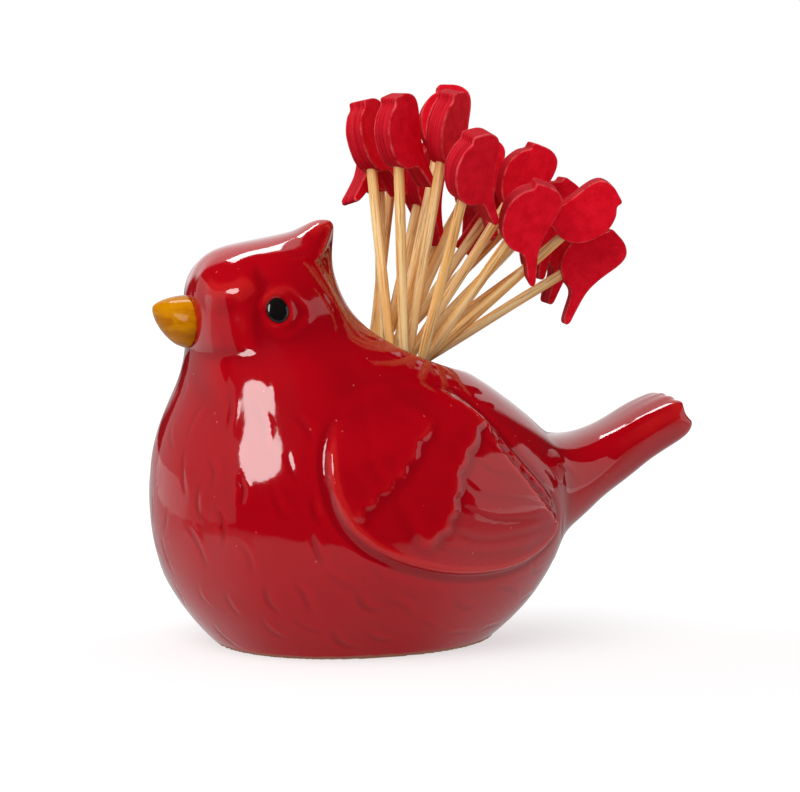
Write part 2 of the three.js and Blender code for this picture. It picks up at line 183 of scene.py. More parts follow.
# %% [markdown]
# ## The studio
# The glaze is a dark mirror, so most of what is seen on it is the room. The photograph's reflections
# give that room away: a white table and a white backdrop, a dark room round the camera, a white card
# on each side, one round softbox at the left, and a lamp above the back. For glossy rays the world is
# therefore white behind the bird and dark elsewhere, and for matt surfaces it is an even grey. The
# key lamp lights the colours but isn't mirrored. The other lamps are only there to be mirrored.

# %% The world
room = bpy.data.worlds.new("studio_room")
scene.world = room
room.use_nodes = True
paint = Paint(room.node_tree)
direction = paint.node("TexCoord", out="Generated")


def way_to(azimuth, rise):
    """The direction to a place in the room, from angles in degrees: azimuth -90 is in front."""
    turn, lift = math.radians(azimuth), math.radians(rise)
    return Vector((math.cos(lift) * math.cos(turn), math.cos(lift) * math.sin(turn), math.sin(lift)))


white, dark_room, even_grey = grey(1), (0.03, 0.022, 0.022, 1), (0.54, 0.53, 0.53, 1)
backdrop = paint.ramp(paint.dot(direction, way_to(78, 33)), 0.79, 0.84)
camera_ray, glossy_ray, passing_ray = paint.rays("Camera", "Glossy", "Transmission")
seen_by_gloss = paint.blend(glossy_ray + passing_ray, even_grey, paint.blend(backdrop, dark_room, white))
seen = paint.blend(camera_ray, seen_by_gloss, white)
paint.node("OutputWorld", None, {"Surface": paint.node("Background", None, {"Color": seen})})
print("world nodes", len(room.node_tree.nodes))


# %% The lamps
bird_middle = Vector((0, 0, 50 * mm))


def softbox(name, azimuth, rise, distance, width, height, watts, shape="RECTANGLE"):
    """A lamp that faces the bird from an azimuth and a height, both in degrees."""
    light = bpy.data.lights.new(name, "AREA")
    light.shape = shape
    light.size, light.size_y = width, height
    light.energy = watts
    lamp = bpy.data.objects.new(name, light)
    scene.collection.objects.link(lamp)
    way = way_to(azimuth, rise)
    lamp.location = bird_middle + way * distance
    lamp.visible_camera = False
    lamp.rotation_euler = way.to_track_quat("Z", "Y").to_euler()
    return lamp


key = softbox("key_softbox", -140, 47, 0.9, 0.8, 0.8, 7.2)
key.visible_glossy = False
mirrored = [
    softbox("round_softbox", -139, 23, 0.6, 0.3, 0.34, 2.9, "ELLIPSE"),
    softbox("top_light", 97, 62, 0.8, 0.42, 0.16, 2.5),
    softbox("left_card", 165, 8, 0.2, 0.385, 0.15, 0.082),
    softbox("right_card", -17, 9, 0.5, 0.56, 0.37, 0.65),
]
for lamp in mirrored:
    lamp.visible_diffuse = False

# %% [markdown]
# ## The table
# The bird stands on a white table that fades into a white backdrop. The table is a matt sheet that
# takes a faint shadow. For the camera it glows, so that it reads as white, and it turns pure white
# further out, behind the bird and close to the camera. It throws light back under the belly. In the
# glaze it is bright close to the bird, behind it and at its right, but darker in front, where the
# camera takes the light away.

# %% The table
table_reach = 3
bm = bmesh.new()
bmesh.ops.create_grid(bm, x_segments=1, y_segments=1, size=table_reach)
table_mesh = bpy.data.meshes.new("white_table")
bm.to_mesh(table_mesh)
bm.free()
table = bpy.data.objects.new("white_table", table_mesh)
scene.collection.objects.link(table)

# %% Where the table glows
material, paint = new_paint("white_table")
where = paint.places()
away = paint.node("VectorMath", {"operation": "LENGTH"}, {0: where}, out="Value")
ahead, to_the_right = paint.dot(where, to_camera), paint.dot(where, way_to(-28, 0))

in_front = paint.ramp(ahead, 0.155, 0.17)
farther = 1 - paint.ramp(ahead, -0.05, 0.02)
fade = paint.ramp(away, 0.11, 0.3).most(in_front).most(farther)

close = 1 - paint.ramp(away, 0.15, 0.17)
aside = 1 - paint.ramp(ahead / away, 0.55, 0.95)
behind = 1 - paint.ramp(ahead, -0.03, 0.03)
right_side = paint.ramp(to_the_right / away, 0.84, 0.9)
mirrored_glow = (close * (aside * 0.35 + 0.09)).most(behind * 0.5).most(right_side * 0.4)

camera_ray, glossy_ray, matt_ray = paint.rays("Camera", "Glossy", "Diffuse")
pale = paint.blend(fade, (0.42, 0.41, 0.41, 1), grey(0.1))
paint.surface({
    "Base Color": paint.blend(in_front, pale, grey(0.02)),
    "Roughness": 0.9,
    "Specular IOR Level": 0,
    "Emission Color": white,
    "Emission Strength": camera_ray * (fade * 0.42 + 0.59) + glossy_ray * mirrored_glow + matt_ray * 0.42,
})
table_mesh.materials.append(material)
print("table", tuple(table.dimensions))

# %% [markdown]
# ## Curves and soft steps
# The casting was drawn as stations, from the foot to the crest. A curve that bends evenly has to
# run through them, because a mirror shows every kink. The curve here is a cubic spline, open or
# closed. A soft step turns a distance into a slope.

# %% Curves and soft steps
def curve_through(points, closed=False):
    """A smooth curve through points, read at places 0, 1, 2... where it meets them."""
    points = np.array(points, float)
    count = len(points)
    system = np.eye(count) * 4 + np.eye(count, k=1) + np.eye(count, k=-1)
    bend = 6 * (np.roll(points, -1, 0) - 2 * points + np.roll(points, 1, 0))
    if closed:
        system[0, -1] = system[-1, 0] = 1
    else:
        system[0], system[-1] = np.eye(count)[0], np.eye(count)[-1]
        bend[0] = bend[-1] = 0
    bend = np.linalg.solve(system, bend)

    def at(place):
        place = np.asarray(place, float)
        low = np.floor(place).astype(int)
        if not closed:
            low = np.clip(low, 0, count - 2)
        t = (place - low)[..., None]
        s = 1 - t
        here, then = low % count, (low + 1) % count
        bent = (s**3 - s) * bend[here] + (t**3 - t) * bend[then]
        return s * points[here] + t * points[then] + bent / 6

    return at


def ramp(value, low, high):
    share = np.clip((value - low) / (high - low), 0, 1)
    return share * share * (3 - 2 * share)


def between(value, rise, fall):
    """1 between two soft steps, each given by its start and its end, and 0 outside them."""
    return ramp(value, *rise) * (1 - ramp(value, *fall))


# %% [markdown]
# ## The skin of the casting
# On the real bird clay slip is poured into a plaster mould, so it is one even skin. It could be cut
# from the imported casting, but that has flat facets. Here a flat grid is rolled into a tube through
# the same stations instead: one grid direction runs round the bird, the other from foot to crest.

# %% The stations, as in the part: front and back point, greatest half width, and its place
body_length, body_width, crest_height = 100 * mm, 76 * mm, 95.5 * mm
stations = [
    [-0.305, 0, 0.315, 0, 0.67, 0],
    [-0.328, 0.024, 0.34, 0.024, 0.73, 0],
    [-0.375, 0.085, 0.395, 0.079, 0.83, 0],
    [-0.414, 0.152, 0.436, 0.137, 0.91, 0],
    [-0.441, 0.225, 0.472, 0.2, 0.97, 0],
    [-0.457, 0.304, 0.5, 0.277, 1, 0],
    [-0.46, 0.382, 0.51, 0.361, 0.995, 0],
    [-0.454, 0.45, 0.49, 0.435, 0.96, -0.01],
    [-0.437, 0.518, 0.44, 0.501, 0.895, -0.03],
    [-0.415, 0.576, 0.367, 0.565, 0.81, -0.06],
    [-0.396, 0.623, 0.283, 0.626, 0.715, -0.1],
    [-0.384, 0.668, 0.188, 0.678, 0.63, -0.14],
    [-0.379, 0.707, 0.095, 0.719, 0.56, -0.175],
    [-0.379, 0.743, 0.024, 0.755, 0.517, -0.195],
    [-0.38, 0.785, -0.016, 0.801, 0.497, -0.205],
    [-0.378, 0.827, -0.036, 0.848, 0.48, -0.21],
    [-0.367, 0.869, -0.045, 0.893, 0.435, -0.21],
    [-0.343, 0.909, -0.043, 0.93, 0.355, -0.205],
    [-0.297, 0.939, -0.039, 0.96, 0.24, -0.185],
    [-0.22, 0.958, -0.037, 0.978, 0.155, -0.14],
    [-0.14, 0.975, -0.04, 0.99, 0.09, -0.095],
    [-0.08, 0.994, -0.055, 0.997, 0.02, -0.066],
]
units = [body_length, crest_height, body_length, crest_height, body_width / 2, body_length]
station_at = curve_through(np.array(stations) * units)
last_station, head_station, mouth_station = len(stations) - 1, 16, 11.55
plumpness, crest_sharpness, crest_stations = 2.15, 1.6, (14, 17)
merge_distance = 0.001 * mm


# %% Rolling a grid into a closed skin
def signed_power(value, power):
    return np.sign(value) * np.abs(value) ** power


def rolled_skin(around, along, place):
    """A grid rolled into a tube and closed at both ends. place() gives points for turns and shares."""
    bm = bmesh.new()
    bmesh.ops.create_grid(bm, x_segments=around, y_segments=along, size=0.5)
    flat = np.array([vert.co for vert in bm.verts]) + 0.5
    for vert, point in zip(bm.verts, place(flat[:, 0], flat[:, 1])):
        vert.co = point
    bmesh.ops.remove_doubles(bm, verts=bm.verts, dist=merge_distance)
    bmesh.ops.holes_fill(bm, edges=[edge for edge in bm.edges if edge.is_boundary])
    bmesh.ops.recalc_face_normals(bm, faces=bm.faces)
    return bm


def body_place(turn, share, top_station=last_station):
    station = share * top_station
    front_x, front_z, back_x, back_z, half_width, middle = station_at(station).T
    cos, sin = np.cos(turn * math.tau), np.sin(turn * math.tau)
    sharp = plumpness + (crest_sharpness - plumpness) * ramp(station, *crest_stations)
    power = 2 / np.where(cos > 0, sharp, plumpness)
    along, across = signed_power(cos, power), signed_power(sin, power)
    x = middle + along * np.where(along > 0, back_x - middle, middle - front_x)
    z = front_z + (back_z - front_z) * (x - front_x) / (back_x - front_x)
    return np.stack([x, across * half_width, z], axis=-1)


body_skin = rolled_skin(160, 150, body_place)
print("body skin faces", len(body_skin.faces))

# %% [markdown]
# ## The tail
# The tail is a flat paddle that leaves the rump and sweeps up. On the real bird it is part of the
# same casting. It is rolled in the same way along its own curve, thin in height and broad across.
# Its feathers show as shallow furrows that end in notches at the tip. Below, it is a little fuller.

# %% The tail's sections: run, rise, thickness, width
tail_length, tail_rise, tail_thickness, tail_width = 42.5 * mm, 17.6 * mm, 9 * mm, 23 * mm
tail_root = np.array([0.38 * body_length, 0.345 * crest_height])
tail_sections = [
    [0, 0, 3.6, 1.9],
    [0.196, 0.08, 2.75, 1.55],
    [0.36, 0.19, 2.05, 1.25],
    [0.5, 0.36, 1.5, 1.05],
    [0.65, 0.56, 1.2, 0.96],
    [0.8, 0.77, 1.15, 1],
    [0.92, 0.91, 1.1, 1],
    [0.98, 0.975, 0.98, 0.96],
    [1, 1, 0.72, 0.86],
]
tail_units = [tail_length, tail_rise, tail_thickness / 2, tail_width / 2]
tail_at = curve_through(np.array(tail_sections) * tail_units)
tail_roundness, tail_belly, tail_thinnest = 2.5, 0.42, 0.2
feather_count, feather_furrow, feather_notch = 5, 0.75 * mm, 2.2 * mm


def tail_place(turn, share):
    place = share * (len(tail_sections) - 1)
    run, rise, thick, wide = tail_at(place).T
    ahead = tail_at(place + 0.01)[:, :2] - tail_at(place - 0.01)[:, :2]
    ahead /= np.linalg.norm(ahead, axis=1)[:, None]
    up = signed_power(np.cos(turn * math.tau), 2 / tail_roundness)
    side = signed_power(np.sin(turn * math.tau), 2 / tail_roundness)
    furrow = np.abs(np.cos(side * feather_count * math.pi / 2))
    groove = feather_furrow * ramp(share, 0.45, 0.95) * (1 - furrow) ** 3
    below = ramp(-up, 0, 0.8) * ramp(share, 0.25, 0.5) * (1 - 0.5 * ramp(share, 0.75, 0.95))
    thick = np.maximum(thick - groove, tail_thinnest * thick) * (1 + tail_belly * below)
    forward = (np.sqrt(furrow) - 1) * feather_notch * ramp(share, 0.7, 1)
    x = tail_root[0] + run - ahead[:, 1] * up * thick + ahead[:, 0] * forward
    z = tail_root[1] + rise + ahead[:, 0] * up * thick + ahead[:, 1] * forward
    return np.stack([x, side * wide, z], axis=-1)


tail_skin = rolled_skin(120, 90, tail_place)
print("tail skin faces", len(tail_skin.faces))


# %% [markdown]
# ## Hollow, mouth and one skin
# Poured slip leaves a hollow with the same shape, one wall smaller. The mouth is cut from the still
# soft casting with a round tool that leans back with the bunch. Boolean modifiers join the tail and
# cut both, and a voxel remesh turns the result into one even skin of fine faces to model on.

# %% From bmesh to object and back
def new_object(name, bm):
    mesh = bpy.data.meshes.new(name)
    bm.to_mesh(mesh)
    bm.free()
    made = bpy.data.objects.new(name, mesh)
    scene.collection.objects.link(made)
    return made


def settle(made):
    """Turns an object's modifiers into its own mesh."""
    bpy.context.view_layer.update()
    finished = made.evaluated_get(bpy.context.evaluated_depsgraph_get())
    mesh = bpy.data.meshes.new_from_object(finished)
    made.modifiers.clear()
    made.data = mesh
    mesh.name = made.name


def modify(made, kind, **settings):
    modifier = made.modifiers.new(kind.lower(), kind)
    for name, value in settings.items():
        setattr(modifier, name, value)


# %% The tools that cut the hollow and the mouth
wall, floor_thickness = 4 * mm, 4.5 * mm
hollow_skin = rolled_skin(96, 80, lambda turn, share: body_place(turn, share, head_station))
hollow_skin.normal_update()
inward = [(vert, vert.co - vert.normal * wall) for vert in hollow_skin.verts]
for vert, place in inward:
    vert.co = place
    vert.co.z = max(place.z, floor_thickness)
hollow_tree = BVHTree.FromBMesh(hollow_skin)

mouth_length, mouth_width, mouth_tilt = 25 * mm, 23 * mm, math.radians(27)
mouth_deep, mouth_high = 17 * mm, 30 * mm
_, _, mouth_x, mouth_z, _, _ = station_at(np.array([mouth_station]))[0]
mouth_turn = Matrix.Translation((mouth_x, 0, mouth_z)) @ Matrix.Rotation(mouth_tilt, 4, "Y")
mouth_tool = bmesh.new()
bmesh.ops.create_cone(
    mouth_tool, cap_ends=True, segments=96, radius1=1, radius2=1, depth=mouth_high + mouth_deep,
    matrix=mouth_turn @ Matrix.Translation((0, 0, (mouth_high - mouth_deep) / 2))
    @ Matrix.Diagonal((mouth_length / 2, mouth_width / 2, 1, 1)),
)
print("mouth at", round(mouth_x, 4), round(mouth_z, 4))

# %% One skin
voxel = 0.6 * mm
songbird = new_object("songbird_casting", body_skin)
helpers = [new_object(name, bm) for name, bm in
           [("tail", tail_skin), ("hollow", hollow_skin), ("mouth", mouth_tool)]]
for helper, operation in zip(helpers, ("UNION", "DIFFERENCE", "DIFFERENCE")):
    modify(songbird, "BOOLEAN", operation=operation, object=helper, solver="EXACT")
modify(songbird, "REMESH", mode="VOXEL", voxel_size=voxel, use_smooth_shade=True)
settle(songbird)
for helper in helpers:
    bpy.data.objects.remove(helper)
print("songbird faces", len(songbird.data.polygons))

# %% [markdown]
# ## Modelling on the skin
# The master model was carved: wings, feathers, brows and furrows. Here each carved line is a number
# for every vertex, how far it moves along its normal. The places come as one array, so that a
# whole line is carved at once, and each step adds its share to one array of heights.

# %% Places, normals and neighbours as arrays
def vertex_array(mesh, field):
    values = np.empty(len(mesh.vertices) * 3, np.float32)
    mesh.vertices.foreach_get(field, values)
    return values.reshape(-1, 3).astype(float)


def put_vertices(mesh, place):
    mesh.vertices.foreach_set("co", place.astype(np.float32).ravel())
    mesh.update()


def keep_attribute(mesh, name, values):
    """Keeps a number or a vector for every vertex, for a material to read."""
    kind, field = ("FLOAT", "value") if values.ndim == 1 else ("FLOAT_VECTOR", "vector")
    layer = mesh.attributes.new(name, kind, "POINT")
    layer.data.foreach_set(field, values.astype(np.float32).ravel())


def shade_smooth(mesh):
    mesh.polygons.foreach_set("use_smooth", [True] * len(mesh.polygons))


def neighbour_pairs(mesh):
    pairs = np.empty(len(mesh.edges) * 2, np.int32)
    mesh.edges.foreach_get("vertices", pairs)
    pairs = pairs.reshape(-1, 2)
    return np.concatenate([pairs[:, 0], pairs[:, 1]]), np.concatenate([pairs[:, 1], pairs[:, 0]])


def averaged(values, pairs, rounds, weight=1.0):
    """Values moved towards the mean of their neighbours, some rounds over."""
    here, there = pairs
    count = np.bincount(here, minlength=len(values))
    values = values.reshape(len(values), -1)
    weight = np.broadcast_to(weight, len(values))[:, None]
    for _ in range(rounds):
        sums = [np.bincount(here, weights=column[there], minlength=len(values)) for column in values.T]
        values = values + weight * (np.stack(sums, axis=1) / count[:, None] - values)
    return values.squeeze()


inside_reach = 0.9 * mm
pairs = neighbour_pairs(songbird.data)
place = vertex_array(songbird.data, "co")
inside = np.array([hollow_tree.find_nearest(Vector(p))[3] for p in place]) < inside_reach

# %% [markdown]
# The mouth was cut with a sharp tool and then wiped with a wet sponge, which rounds its rim. Here
# the vertices near the cut are averaged many times, and all others only a little, which also takes
# away the voxels' fine steps and fills the joint of tail and rump with a soft fillet. The foot then
# spreads a little, as clay does on the kiln shelf, and the crest's tip is drawn up.

# %% The sponged rim
in_mouth = np.array(mouth_turn.inverted()) @ np.c_[place, np.ones(len(place))].T
from_cut = np.abs(np.hypot(in_mouth[0] / (mouth_length / 2), in_mouth[1] / (mouth_width / 2)) - 1)
rim = (1 - ramp(from_cut, 0.1, 0.42)) * ramp(in_mouth[2], -9 * mm, -4 * mm)
tail_joint = between(place[:, 0], (30 * mm, 38 * mm), (56 * mm, 64 * mm))
calm = 0.5 * ramp(place[:, 2], 0, 4 * mm) * (1 - 0.7 * ramp(place[:, 0], 58 * mm, 66 * mm))
calm *= 1 - 0.7 * ramp(place[:, 2], 84 * mm, 90 * mm)
place = averaged(place, pairs, 30, calm)
place = averaged(place, pairs, 45, 0.6 * np.maximum(rim, tail_joint))

# %% The foot and the crest's tip
foot_spread, foot_flat = 0.042, 0.25 * mm
place[:, :2] *= 1 + foot_spread * (1 - ramp(place[:, 2:], 0, 40 * mm))
on_top = ramp(place[:, 2], 86 * mm, 93 * mm)
place[:, 2] += (0.9 * ramp(place[:, 0], -14 * mm, -8 * mm) - 0.4) * mm * on_top
foot = place[:, 2] < foot_flat
place[foot, 2] = 0
put_vertices(songbird.data, place)
normal = vertex_array(songbird.data, "normal")
print("vertices", len(place), "inside", int(inside.sum()), "on the rim", int((rim > 0.5).sum()))


# %% [markdown]
# ## Lines in the side view
# Wings and feathers are easiest to draw as a sculptor marks them: as lines in the side view, in
# millimetres, pressed on both flanks. A line gives every vertex its distance, with a sign that
# tells its two sides apart, and its place along the line from 0 to 1.

# %% Distance to a line in the side view
side_x, side_z = place[:, 0] / mm, place[:, 2] / mm
on_flank = ramp(np.abs(normal[:, 1]), 0.1, 0.35) * ~inside


def drawn(points, closed=False, steps=90):
    curve = curve_through(points, closed)
    return curve(np.linspace(0, len(points) if closed else len(points) - 1, steps + 1))


def from_line(line, reach=9, unreached=99.0):
    """Signed distance in mm, positive to the left of the line's run, and the share along it."""
    signed, share = np.full(len(side_x), unreached), np.zeros(len(side_x))
    low, high = line.min(0) - reach, line.max(0) + reach
    chosen = (side_x > low[0]) & (side_x < high[0]) & (side_z > low[1]) & (side_z < high[1])
    chosen &= ~inside
    x, z = side_x[chosen], side_z[chosen]
    nearest, sign, along = np.full(len(x), unreached), np.ones(len(x)), np.zeros(len(x))
    for i, (start, end) in enumerate(zip(line[:-1], line[1:])):
        run = end - start
        t = np.clip(((x - start[0]) * run[0] + (z - start[1]) * run[1]) / (run @ run), 0, 1)
        gap = np.hypot(x - start[0] - t * run[0], z - start[1] - t * run[1])
        closer = gap < nearest
        nearest = np.where(closer, gap, nearest)
        left = np.sign(run[0] * (z - start[1]) - run[1] * (x - start[0]))
        sign = np.where(closer, left, sign)
        along = np.where(closer, (i + t) / (len(line) - 1), along)
    signed[chosen] = nearest * sign
    share[chosen] = along
    return signed, share


def bell(distance, width):
    return np.exp(-((distance / width) ** 2))


def arched(along, power):
    """Nothing at both ends of a line and 1 in its middle."""
    return np.sin(np.clip(along, 0, 1) * math.pi) ** power


# %% [markdown]
# ## The wings
# Each wing lies folded on the flank. Its edge is a rounded step. Three layers of feathers lap over
# each other like shingles: short ones at the shoulder, a middle row, and the long flight feathers
# that run back to the tip. A lapped edge is full height where a layer ends and fades inwards.

# %% The wing's outline
wing_outline = drawn([
    [-12.2, 54.4], [-14.4, 47.3], [-14.6, 40.5], [-12.9, 34.2], [-9.4, 28.9], [-3, 24.4], [6, 21],
    [16, 19.2], [27, 19.4], [36, 22.2], [41, 27.2], [38, 34.2], [32.2, 40.6], [27.6, 46],
    [22.4, 52.4], [12, 60], [0, 61.5], [-8, 59.4],
], closed=True, steps=200)
out_of_wing, _ = from_line(wing_outline)
inside_wing = np.zeros(len(side_x), bool)
for start, end in zip(wing_outline[:-1], wing_outline[1:]):
    spans = (start[1] > side_z) != (end[1] > side_z)
    rise = np.where(end[1] == start[1], 1e-9, end[1] - start[1])
    crossing = (end[0] - start[0]) * (side_z - start[1]) / rise + start[0]
    inside_wing ^= spans & (side_x < crossing)
depth = np.where(inside_wing, np.minimum(np.abs(out_of_wing), 12), -np.abs(out_of_wing))
shoulder = 1 - ramp(side_z - 0.25 * side_x, 46, 57)
wing_height, wing_lip, wing_valley = 1.35, 0.2, 0.3
height = wing_height * ramp(depth, -0.4, 1.3) + wing_lip * bell(depth - 1.1, 0.7)
height = (height - wing_valley * bell(depth + 0.8, 0.9)) * shoulder

# %% The dark slit inside the wing's upper edge, with a thin rim beyond it
slit_depth, slit_rim, slit_teeth = 1.5, 0.35, 9
slit = drawn([[23.6, 49.6], [26.9, 45], [31.2, 39.8], [35.4, 35.2], [38.6, 31.6], [40, 28.6]])
from_slit, along_slit = from_line(slit)
ragged = 0.3 * np.abs(np.sin(along_slit * slit_teeth * math.pi))
carved = slit_rim * bell(from_slit - 1.3, 0.5) - slit_depth * bell(from_slit + ragged, 0.6)
height += carved * arched(along_slit, 0.5)


# %% The layers of feathers
def lapped_edge(line, step, reach, scallop, feathers):
    """A layer to the right of the line's run that ends at the line, with feather ends on its edge."""
    distance, along = from_line(drawn(line))
    inwards = -distance + scallop * np.abs(np.sin(along * feathers * math.pi)) - scallop / 2
    ends = between(along, (0, 0.08), (0.92, 1))
    return step * ramp(inwards, -0.7, 0.7) * np.exp(-np.clip(inwards, 0, None) / reach) * ends


def near_wing(edge=0.5):
    return ramp(depth, edge, edge + 1.5)


covert_line = [[-9, 31.6], [-7, 34.4], [-3.9, 37.2], [-0.6, 39.8], [2.6, 43], [5.6, 47], [10.6, 52.6]]
middle_line = [
    [4, 25.4], [9, 28.4], [11.6, 31.6], [12.9, 35.7], [14.3, 40.7], [16.8, 44.7], [20.2, 49], [23, 52],
]
height += lapped_edge(covert_line[::-1], 0.45, 8, 1.1, 6) * near_wing()
height += lapped_edge(middle_line[::-1], 0.5, 9, 0.9, 7) * near_wing()

# %% The long flight feathers
flight_lines = [
    [[19.5, 48], [24.5, 45.2], [29.5, 41.6], [33.5, 37.2]],
    [[17.6, 43.4], [23.8, 40.4], [29, 38.8], [35, 35.4]],
    [[15, 39.2], [19.3, 36.5], [25, 35.4], [32, 34.2], [38, 32]],
    [[13.7, 34.9], [20.7, 31.4], [29.8, 30.2], [38.6, 30.2]],
    [[12.3, 29.9], [16.7, 27.5], [24.3, 26.9], [34.5, 27.8], [39, 28.6]],
    [[6.7, 27.5], [13, 25], [20, 23.8], [30, 23.9], [36, 25.6]],
]
flight_groove, flight_lip = 0.09, 0.05
for line in flight_lines:
    distance, along = from_line(drawn(line))
    grown = between(along, (0, 0.12), (0.82, 1)) * near_wing(0.8)
    upper_lip = flight_lip * ramp(distance, -0.3, 0.5) * np.exp(-np.clip(distance, 0, None) / 1.6)
    height += (upper_lip - flight_groove * bell(distance, 0.5)) * grown
print("flight feathers", len(flight_lines) + 1)

# %% [markdown]
# ## The head
# A folded crest ends in a crisp edge that turns into the soft edge of the nape. The eye lies in an
# almond-shaped socket under a raised brow. These lines are drawn in the side view too. A low ridge
# runs from the beak to the brow, the cheek stands out a little, and a collar fills the neck.

# %% The crest's edge, the brow and the lids
crest_edge = [[-4.6, 94.6], [-6.3, 91.4], [-8.4, 88.6], [-10.6, 86]]
nape_edge = [[-11.8, 86.8], [-10.4, 84.6], [-8.6, 81.4], [-7, 78], [-5.2, 74.4], [-3, 70.6]]
for line, ridge, ridge_width, furrow in ((crest_edge, 0.32, 0.5, 0.4), (nape_edge, 0.12, 0.8, 0.3)):
    distance, along = from_line(drawn(line))
    ends = between(along, (0, 0.15), (0.8, 1))
    height += (ridge * bell(distance, ridge_width) - furrow * bell(distance - 1.8, 1.3)) * ends
eye_x, eye_z = -21.35, 75.9
from_eye = np.hypot((side_x - eye_x) / 2.75, (side_z - eye_z) / 2.95)
on_head = ramp(side_z, 64, 68)
height += 0.5 * bell(from_eye - 1.16, 0.18) * on_head
brow = [
    [-26.6, 74.6], [-25, 77.6], [-22.8, 79.8], [-20.3, 80.5], [-17.8, 79.8], [-15.6, 77.8], [-13.4, 76],
]
distance, along = from_line(drawn(brow))
height += (0.42 * bell(distance, 1.2) - 0.2 * bell(distance + 1.9, 1)) * arched(along, 0.6) * on_head
under = [[-26, 74.4], [-24.4, 72.4], [-21.8, 71], [-18.8, 71.2], [-15.6, 73.4], [-13.6, 75.6]]
distance, along = from_line(drawn(under))
height += 0.2 * bell(distance, 1) * arched(along, 0.6) * on_head

# %% The ridge from the beak to the brow, the collar and the cheek
ridge_height, collar_height, cheek_height = 0.75, 0.9, 1.5
distance, along = from_line(drawn([[-35.5, 79], [-32, 79.6], [-28, 80.2], [-24, 81.2]]))
height += ridge_height * bell(distance, 2.3) * between(along, (0, 0.25), (0.75, 1))
height += collar_height * bell(side_z - 61, 5.5) * between(side_x, (-38, -33), (-18, -6))
cheek = 1 - (1 - np.clip((side_z - 66.5) / 7.5, 0, 1)) ** 2
cheek *= (1 - ramp(side_z, 79.5, 89)) * between(side_x, (-39, -33), (-29, -24.5))
height = (height + cheek_height * cheek) * on_flank
print("carved height from", round(height.min(), 2), "to", round(height.max(), 2), "mm")

# %% [markdown]
# ## Feather strokes
# Breast and belly carry short curved strokes, as a modelling tool leaves them. They follow the lie
# of the feathers: down the breast and back along the belly. They are strewn with an even spacing
# from a fixed seed, shallow above and deeper below, and each presses a groove with one raised lip.

# %% Where the strokes lie
rng = np.random.default_rng(11)
free = ~inside & (rim < 0.05) & (depth < -2.5) & (place[:, 2] > 3 * mm) & (side_x < 47)
free &= (side_z < 62 - 0.35 * np.clip(side_x + 15, 0, 60)) & (np.abs(normal[:, 2] + 0.15) < 0.6)
spacing, tries = 7.8 * mm, 9000
seeds, taken = [], np.empty((0, 3))
for candidate in rng.permutation(np.flatnonzero(free))[:tries]:
    if len(taken) and (np.linalg.norm(taken - place[candidate], axis=1) < spacing).any():
        continue
    seeds.append(candidate)
    taken = place[seeds]
print("strokes", len(seeds))

# %% Pressing the strokes
stroke_reach = 6.5 * mm
strokes = np.zeros(len(place))
for seed in seeds:
    middle, out = place[seed], normal[seed]
    back_share = ramp(middle[0] / mm, -30, 25) + 0.5 * ramp(-middle[2] / mm, -25, -5)
    lie = np.array([0.25 + 1.1 * back_share, 0.25 * rng.normal(), -1.0 + 0.3 * rng.normal()])
    lie = lie - out * (lie @ out)
    lie /= np.linalg.norm(lie)
    half, bend = rng.uniform(3, 5.5), rng.uniform(0.5, 1.7) * rng.choice([-1, 1])
    pressed = (1 - 0.6 * ramp(middle[2] / mm, 30, 55)) * (1 - 0.4 * ramp(middle[0] / mm, -10, 10))
    deep, lip = rng.uniform(0.08, 0.26) * pressed, rng.uniform(0.06, 0.2) * pressed
    near = np.flatnonzero(((place - middle) ** 2).sum(1) < stroke_reach**2)
    near = near[(normal[near] @ out > 0.3) & ~inside[near]]
    offset = (place[near] - middle) / mm
    along = offset @ lie / half
    across = offset @ np.cross(out, lie) - bend * along**2
    taper = np.clip(1 - along**2, 0, 1) ** 0.8
    strokes[near] += taper * (lip * bell(across - 0.95, 0.7) - deep * bell(across, 0.6))
covered = ramp(-depth, 0.5, 2.5)
height += np.clip(strokes, -0.5, 0.45) * covered

# %% [markdown]
# A hand-finished casting is never quite even. A slow noise of about a tenth of a millimetre, and a
# much finer one, make the reflections waver as they do in the photograph.

# %% The last unevenness, and the move
slow_height, fine_height = 0.16, 0.012
slow = np.array([noise.noise(Vector(p) * 55) for p in place]) * slow_height
fine = np.array([noise.noise(Vector(p) * 210 + Vector((7, 3, 1))) for p in place]) * fine_height
height += np.where(inside | foot, 0, slow + fine)
height = averaged(height, pairs, 1, 0.4)
height[foot] = 0
place = place + normal * (height * mm)[:, None]
place[:, 2] = np.maximum(place[:, 2], 0)
put_vertices(songbird.data, place)

# %% [markdown]
# Glaze runs off edges and pools in grooves before it sets, so edges come out lighter. How much a
# vertex stands out from the mean of its neighbourhood is kept as an attribute for the material.

# %% Where the glaze is thin
normal = vertex_array(songbird.data, "normal")
wide = averaged(place, pairs, 6)
bulge = ((place - wide) * normal).sum(1) / mm
thin = ramp(averaged(bulge, pairs, 2), -0.06, 0.16)
keep_attribute(songbird.data, "thin_glaze", thin)
print("thin glaze mean", round(float(thin.mean()), 3))

# %% The unseen inside needs few faces
group = songbird.vertex_groups.new(name="inside")
group.add([int(i) for i in np.flatnonzero(inside)], 1, "REPLACE")
modify(songbird, "DECIMATE", ratio=0.62, vertex_group="inside")
settle(songbird)
shade_smooth(songbird.data)
print("songbird triangles", sum(len(p.vertices) - 2 for p in songbird.data.polygons))

# %% [markdown]
# ## Glaze
# Ceramic glaze is coloured glass over clay. It reflects sharply, lets the clay glow where it is thin,
# and breaks to a lighter, warmer red on edges. A very fine unevenness keeps its mirror from looking
# like plastic. The foot is wiped clean before firing, so a thin line of bare clay shows at the table.

